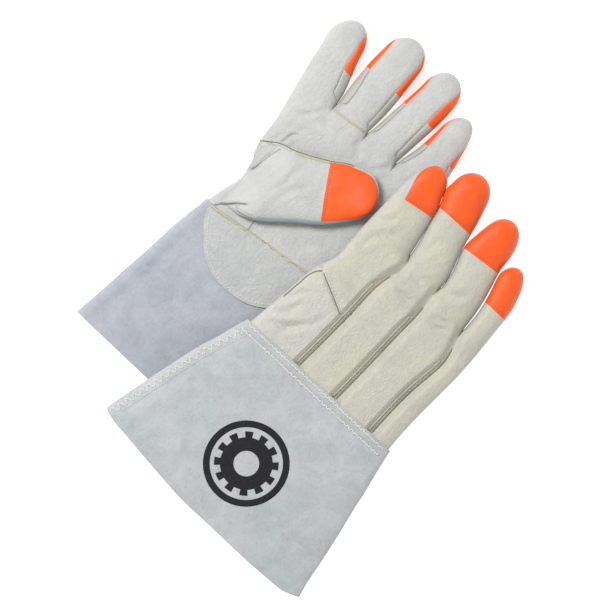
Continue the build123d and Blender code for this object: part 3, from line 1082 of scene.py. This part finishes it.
def carrier(side, part):
    """The body that carries a part, or two bodies and two spots on its leather between them."""
    glove = gloves[0 if side == "left" else 1]
    kind = part.split("_")[-1]
    if "gauntlet" in part or part == "heel_patch":
        return ("left_hand" if side == "left" else "right_gauntlet",)
    if part.startswith("thumb"):
        if side == "left":
            return "left_hand", "left_thumb", thumb_spot(-6), thumb_spot(26)
        return "right_hand", "right_thumb", (64.0, 44.0), (68.0, 66.0)
    if part in ("palm", "yoke") or kind == "strip":
        return ("left_hand",) if side == "left" else ("right_gauntlet", "right_hand", (70, 0), (70, 25))
    finger = next(f for f in glove.fingers if part.startswith(f.name))
    x = float(finger.left(finger.start) + finger.right(finger.start)) / 2
    knuckle = (x, finger.start), (x, finger.start + FOLD)
    if side == "right":
        body = f"right_{finger.name}_finger"
        return (body,) if kind == "cap" else ("right_hand", body, *knuckle)
    base = "left_hand" if finger.name == "little" else f"left_{finger.name}_base"
    if kind == "cap" or part.endswith("tip_front"):
        return base, f"left_{finger.name}_end", (x, finger.cap), (x, finger.cap + FOLD)
    return (base,) if finger.name == "little" else ("left_hand", base, *knuckle)


def attach(obj, key, nodes=()):
    """Parents a piece to its body when one body carries it; a piece between two bodies is only baked in
    place. A panel also replaces its CAD node.
    """
    side, part = key.split("_", 1)
    place = LEFT if side == "left" else RIGHT
    if nodes:
        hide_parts(*nodes)
    bodies = carrier(side, part)
    if len(bodies) == 1:
        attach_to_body(obj, bodies[0])
        return
    ends = [tuple(float(v) for v in place.row((*spot, MID_HEIGHT))) for spot in bodies[2:]]
    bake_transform(obj)


for key, obj in panels.items():
    obj.name = obj.data.name = f"{key}_leather"


# ---------------------------------------------------------------- seams, welts, stitches and lines of painted shade

def surface(*keys):
    """A ray-cast tree over those panels, in the row frame."""
    points, faces = [], []
    for key in keys:
        mesh = panels[key].data
        base = len(points)
        points += [v.co.copy() for v in mesh.vertices]
        faces += [tuple(base + i for i in p.vertices) for p in mesh.polygons]
    return BVHTree.FromPolygons(points, faces)


def land(tree, place, x, y, lift=0.0, above=60.0):
    """The point in metres where a panel's outer surface is at x, y in a glove's frame, and its normal."""
    start = Vector([float(v) for v in place.row(place.upright((x, y, 0.0)))])
    start.z += above * MM
    spot, normal, _, _ = tree.ray_cast(start, Vector((0, 0, -1)), 0.2)
    if spot is None:
        return None
    if normal.z < 0:
        normal = -normal
    return spot + normal * lift * MM, normal


def tube(path, radii, sides=8):
    """Points and faces of a closed tube along a path of (place, normal) in metres, flat ends included."""
    points, faces = [], []
    for i, (spot, normal) in enumerate(path):
        ahead = (path[min(i + 1, len(path) - 1)][0] - path[max(i - 1, 0)][0]).normalized()
        across = ahead.cross(normal).normalized()
        up = across.cross(ahead).normalized()
        for k in range(sides):
            angle = 2 * math.pi * k / sides
            wide, high = radii[i] if isinstance(radii[i], tuple) else (radii[i], radii[i])
            points.append(spot + (across * math.cos(angle) * wide + up * math.sin(angle) * high) * MM)
    for i in range(len(path) - 1):
        for k in range(sides):
            a, b = i * sides + k, i * sides + (k + 1) % sides
            faces.append((a, b, b + sides, a + sides))
    faces.append(tuple(range(sides - 1, -1, -1)))
    faces.append(tuple((len(path) - 1) * sides + k for k in range(sides)))
    return points, faces


def stitches(name, keys, place, line, attach_to, material=THREAD, pitch=2.6, length=1.9, radius=0.36):
    """A row of stitches along a line of (x, y), each one dipping into the leather at its ends."""
    tree = surface(*keys)
    spots = along(line, step=pitch)
    points, faces = [], []
    for i in range(len(spots) - 1):
        a, b = spots[i], spots[i + 1]
        way = (b - a) / max(np.linalg.norm(b - a), 1e-6)
        path = []
        for t, lift in ((-0.5, -0.35), (-0.3, 0.16), (0.0, 0.3), (0.3, 0.16), (0.5, -0.35)):
            x, y = (a + b) / 2 + way * t * length
            found = land(tree, place, x, y, lift)
            if found:
                path.append(found)
        if len(path) < 5:
            continue
        more, ends = tube(path, [radius * 0.7, radius, radius, radius, radius * 0.7], 6)
        faces += [tuple(len(points) + k for k in face) for face in ends]
        points += more
    if not points:
        return
    obj = mesh_object(name, points, faces, material, 80)
    attach(obj, attach_to)


def welt(name, keys, place, line, attach_to, wide=0.8, high=0.6, lift=0.2, material=WELT):
    """A raised strip of leather along a line of (x, y); in a dark shade leather it is a line of painted
    shadow.
    """
    tree = surface(*keys)
    path = [land(tree, place, x, y, lift) for x, y in along(line, step=1.2)]
    path = [p for p in path if p]
    radii = [(wide, high)] * len(path)
    radii[0] = radii[-1] = (wide * 0.4, high * 0.4)
    points, faces = tube(path, radii)
    obj = mesh_object(name, points, faces, material, 80)
    attach(obj, attach_to)


PRINT_BANDS, PRINT_SECTORS = 44, 192  # how finely the print is cut, along its radius and round it
PRINT_START = 0.14  # where its mesh starts; this and the next three are shares of its radius
RING_INNER = 0.84
DISC_TIP, DISC_ROOT, DISC_BORE = 0.75, 0.60, 0.30
DISC_TEETH = 12


def print_mark(name, centre, outer):
    """A plain ring and a toothed disc, printed on the suede as one thin layer with even gaps."""
    tree = surface("right_gauntlet_back")
    radii = np.linspace(outer * PRINT_START, outer, PRINT_BANDS + 1)
    points, index, faces = [], {}, []

    def corner(i, j):
        key = (i, j % PRINT_SECTORS)
        if key not in index:
            angle = 2 * math.pi * j / PRINT_SECTORS
            x, y = centre[0] + radii[i] * math.cos(angle), centre[1] + radii[i] * math.sin(angle)
            spot, _ = land(tree, RIGHT, x, y, 0.12)
            index[key] = len(points)
            points.append(spot)
        return index[key]

    def filled(share, j):
        if share > RING_INNER:
            return True
        if share > DISC_TIP:
            return False
        if share > DISC_ROOT:
            return (j * 2 * DISC_TEETH // PRINT_SECTORS) % 2 == 0
        return share > DISC_BORE

    for i in range(PRINT_BANDS):
        share = (radii[i] + radii[i + 1]) / 2 / outer
        for j in range(PRINT_SECTORS):
            if filled(share, j):
                faces.append((corner(i, j), corner(i + 1, j), corner(i + 1, j + 1), corner(i, j + 1)))
    obj = mesh_object(name, points, faces, INK, 80)
    attach(obj, "right_gauntlet_back")


def seam_points(curve_function, y0, y1, offset=0.0, count=14):
    return [(float(curve_function(y)) + offset, float(y)) for y in np.linspace(y0, y1, count)]


# left glove
LEFT_TOP = ["left_palm", "left_gauntlet_palm", "left_heel_patch"]
stitches("left_heel_stitches", LEFT_TOP, LEFT, [(x + (58 - x) * 0.045, y + 2.2) for x, y in LEFT_HEEL_EDGE],
         "left_heel_patch")
welt("left_heel_welt", LEFT_TOP, LEFT, LEFT_HEEL_SEAM, "left_heel_patch", wide=1.0, high=0.7)
welt("left_gunn_welt", ["left_palm", "left_middle_front", "left_ring_front"], LEFT,
     [(25, 111.5), (38.7, 112.9), (53.2, 115)],
     "left_palm", wide=0.8, high=0.5)
top_edge = [tuple(left_thumb.spot(left_thumb.upper, s)) for s in np.linspace(0.0, 0.64, 24)]
welt("left_thumb_welt", ["left_thumb_back", "left_thumb_front"], LEFT,
     [(x + 0.5, y - 1.7) for x, y in top_edge if x > 24], "left_thumb_front", wide=0.9, high=0.7)
welt("left_thumb_ridge", ["left_thumb_back", "left_thumb_front"], LEFT,
     [(x + 0.4, y - 1.6) for x, y in top_edge if x < 25.5], "left_thumb_front", wide=0.8, high=0.5,
     material=PALM)
# A dark line of painted shadow where the thumb's top edge lies on the palm.
welt("left_thumb_seam", ["left_thumb_back", "left_thumb_front", "left_palm"], LEFT,
     [(x + 0.1, y - 0.2) for x, y in top_edge], "left_thumb_front", wide=0.55, high=0.35, lift=0.0,
     material=SEAM_SHADE)
# Grey lines of painted shade in the thumb's fold lines.
for name, line, wide in (
    ("left_root_fold", [(7.5, -2.0), (13.5, 5.0), (20, 11.5), (27, 17)], 0.85),
    ("left_tab_fold", [(24, 8.4), (31, 9.6), (38.4, 12.8)], 0.65),
    ("left_gusset_fold", [(17.0, 64), (15.6, 58), (14.3, 52), (12.9, 44), (11.6, 37.5)], 0.6),
):
    welt(name, ["left_thumb_back", "left_thumb_front", "left_palm"], LEFT, line, "left_thumb_front",
         wide=wide,
         high=0.25, lift=-0.05, material=SEAM_AND_FOLD_SHADE)
# A grey line of painted shade along the tab's edge.
welt("left_tab_edge", ["left_palm"], LEFT, [(38.8, 12.8), (39.4, 8), (39.9, 3.4)], "left_palm", wide=0.35,
     high=0.3,
     lift=0.0, material=SEAM_AND_FOLD_SHADE)
cap_line = [tuple(left_thumb.point(left_thumb.cap_at(c) + 0.018,
                                   (c + 0.86) / 1.79)[:2]) for c in np.linspace(-0.8, 0.88, 12)]
stitches("left_thumb_cap_stitches", ["left_thumb_back", "left_thumb_cap"], LEFT, cap_line, "left_thumb_cap",
         material=ORANGE_THREAD, pitch=2.2, length=1.6, radius=0.3)
for g, finger in enumerate(LEFT_FINGERS):
    key = f"left_{finger.name}"
    keys = [f"{key}_front", f"{key}_side_walls"]
    sides = [("outer", 1.0, gloves[0].crotches[min(g, 2)])]
    if g:
        sides.append(("inner", 0.0, gloves[0].crotches[g - 1]))
    for word, a, crotch in sides:
        rows = np.linspace(crotch + 2.5, finger.cap - 0.5, 12)
        # Grey lines of painted shade in the gap where each finger's front meets its side walls.
        welt(f"{key}_{word}_seam", keys, LEFT, [tuple(p[:2]) for p in gloves[0].ring(g, rows, a)],
             f"{key}_front",
             wide=0.42, high=0.3, lift=0.0, material=SEAM_AND_FOLD_SHADE)

# right glove
RIGHT_TOP = ["right_gauntlet_back"]
cuff = cuffs["right"]
for row, y in (("upper", -2.3), ("lower", -7.8)):
    ends = float(cuff.left(y)) + 3, float(cuff.right(y)) - 3
    zigzag = [(x, y + 0.9 * (-1) ** i) for i, x in enumerate(np.arange(ends[0], ends[1], 2.2))]
    stitches(f"right_cuff_{row}_stitches", RIGHT_TOP, RIGHT, zigzag, "right_gauntlet_back", pitch=2.7,
             length=2.4,
             radius=0.7)
zigzag = [(float(cuff.left(y)) + 5.2 + 2.6 * (-1) ** i, float(y)) for i,
          y in enumerate(np.arange(-10, -116, -3.0))]
stitches("right_cuff_side_stitches", RIGHT_TOP, RIGHT, zigzag, "right_gauntlet_back", pitch=3.0, length=2.5,
         radius=0.5)
welt("right_cuff_side_ridge", RIGHT_TOP, RIGHT,
     [(float(cuff.left(y)) + 9.2, y) for y in (-9, -40, -80, -112)],
     "right_gauntlet_back", wide=0.5, high=0.3, lift=0.0, material=RIGHT_SUEDE)
# the stitches along each back seam
for g, line in enumerate(RIGHT_LINES):
    keys = [f"right_{RIGHT_FINGERS[g].name}_strip", "right_yoke"]
    stitches(f"right_seam_{g + 1}_stitches", keys, RIGHT,
             [(float(line(y)) - 1.9, float(y)) for y in np.linspace(4, 88, 16)],
             f"right_{RIGHT_FINGERS[g].name}_strip",
             pitch=3.6, length=1.5, radius=0.26)
stitches("right_yoke_stitches", ["right_yoke", "right_index_strip"], RIGHT,
         [(float(x), float(yoke_line(x)) + 1.7) for x in np.linspace(17, 44, 8)], "right_index_strip",
         pitch=2.6,
         length=1.8, radius=0.34)
for g, line in enumerate(RIGHT_LINES):
    name = RIGHT_FINGERS[g].name
    nxt = RIGHT_FINGERS[g + 1].name
    keys = [f"right_{name}_strip", f"right_{nxt}_strip", "right_yoke"]
    end = (94, 94, 86)[g]
    # A dark line of painted shadow in each seam's valley, at the foot of the folded side.
    welt(f"right_seam_{g + 1}", keys, RIGHT, seam_points(line, 1, end, -0.1), f"right_{name}_strip",
         wide=0.6, high=0.35, lift=0.0, material=SEAM_SHADE)
    welt(f"right_seam_{g + 1}_ridge", keys, RIGHT, seam_points(line, 1, end - 12, -3.4),
         f"right_{name}_strip",
         wide=0.55, high=0.45, lift=0.1, material=BACK)
YOKE_KEYS = ["right_yoke", "right_index_strip"]
# A dark line of painted shadow under the index strip's edge where it lies over the yoke.
welt("right_yoke_seam", YOKE_KEYS, RIGHT,
     [(float(x), float(yoke_line(x)) - 1.0) for x in np.linspace(16.5, 46, 8)],
     "right_yoke", wide=0.7, high=0.35, lift=0.0, material=SEAM_SHADE)
welt("right_yoke_ridge", YOKE_KEYS, RIGHT,
     [(float(x), float(yoke_line(x)) + 0.3) for x in np.linspace(16.5, 46, 8)],
     "right_index_strip", wide=1.0, high=0.7, lift=0.1, material=YOKE)
# A dark line of painted shadow along the yoke's thumb side.
welt("right_yoke_side_seam", YOKE_KEYS, RIGHT,
     [(15.6, 63.6), (12.0, 60.2), (9.6, 55), (8.3, 45), (7.2, 35), (5.6, 22), (3.9, 8)],
     "right_yoke", wide=0.55, high=0.3, lift=0.0, material=SEAM_SHADE)
stitches("right_yoke_knot", YOKE_KEYS, RIGHT,
         [(14.2, 65.6), (16.6, 63.2), (14.6, 62.6), (17.2, 64.8), (15.0, 61.4)],
         "right_yoke", pitch=2.3, length=1.9, radius=0.42)
for g, finger in enumerate(RIGHT_FINGERS):
    key = f"right_{finger.name}"
    c = np.linspace(0.1 if g else 0.30, 0.95, 12)
    spots = gloves[1].ring(g, finger.cap + 1.7, c)
    stitches(f"{key}_cap_stitches", [f"{key}_cap"], RIGHT, [tuple(p[:2]) for p in spots], f"{key}_cap",
             material=ORANGE_THREAD, pitch=2.0, length=1.5, radius=0.28)
print_mark("right_printed_ring", (70.1, -78.1), 31.7)

for key, obj in panels.items():
    attach(obj, key, nodes=(key,))


# ---------------------------------------------------------------- floor, light and camera

FLOOR_SIZE = 6.0
FLOOR_GAP = 0.0004  # the floor's distance below the lowest leather
WORLD_STRENGTH = 0.72

low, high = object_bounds()
middle = (low + high) / 2
bpy.ops.mesh.primitive_plane_add(size=FLOOR_SIZE, location=(0, 0, float(low.z) - FLOOR_GAP))
floor = bpy.context.object
floor.name = "floor"
floor.data.materials.append(floor_material("pale_floor"))

world = bpy.data.worlds.new("studio")
world.use_nodes = True
world.node_tree.nodes["Background"].inputs["Color"].default_value = (1.0, 1.0, 1.0, 1.0)
world.node_tree.nodes["Background"].inputs["Strength"].default_value = WORLD_STRENGTH
bpy.context.scene.world = world
bpy.context.scene.view_settings.view_transform = "Standard"


def area_light(name, place, size, power):
    """A round light that faces the middle of the gloves."""
    light = bpy.data.lights.new(name, "AREA")
    light.shape = "DISK"
    light.size = size
    light.energy = power
    obj = bpy.data.objects.new(name, light)
    obj.location = place
    obj.rotation_euler = (middle - Vector(place)).to_track_quat("-Z", "Y").to_euler()
    bpy.context.scene.collection.objects.link(obj)


area_light("key", (-1.0, 0.08, 1.75), 0.7, 36.0)

camera_data = bpy.data.cameras.new("camera")
camera = bpy.data.objects.new("camera", camera_data)
bpy.context.scene.collection.objects.link(camera)
bpy.context.scene.camera = camera
VIEW_HEIGHT = 3.0
FOCUS_HEIGHT = 0.02  # the height at which the frame is FRAME_WIDTH wide
FRAME_WIDTH = 0.442
camera_data.lens = camera_data.sensor_width * (VIEW_HEIGHT - FOCUS_HEIGHT) / FRAME_WIDTH
camera.location = (-0.016, -0.0179, VIEW_HEIGHT)
camera.rotation_euler = (0.0, 0.0, math.radians(43.0))
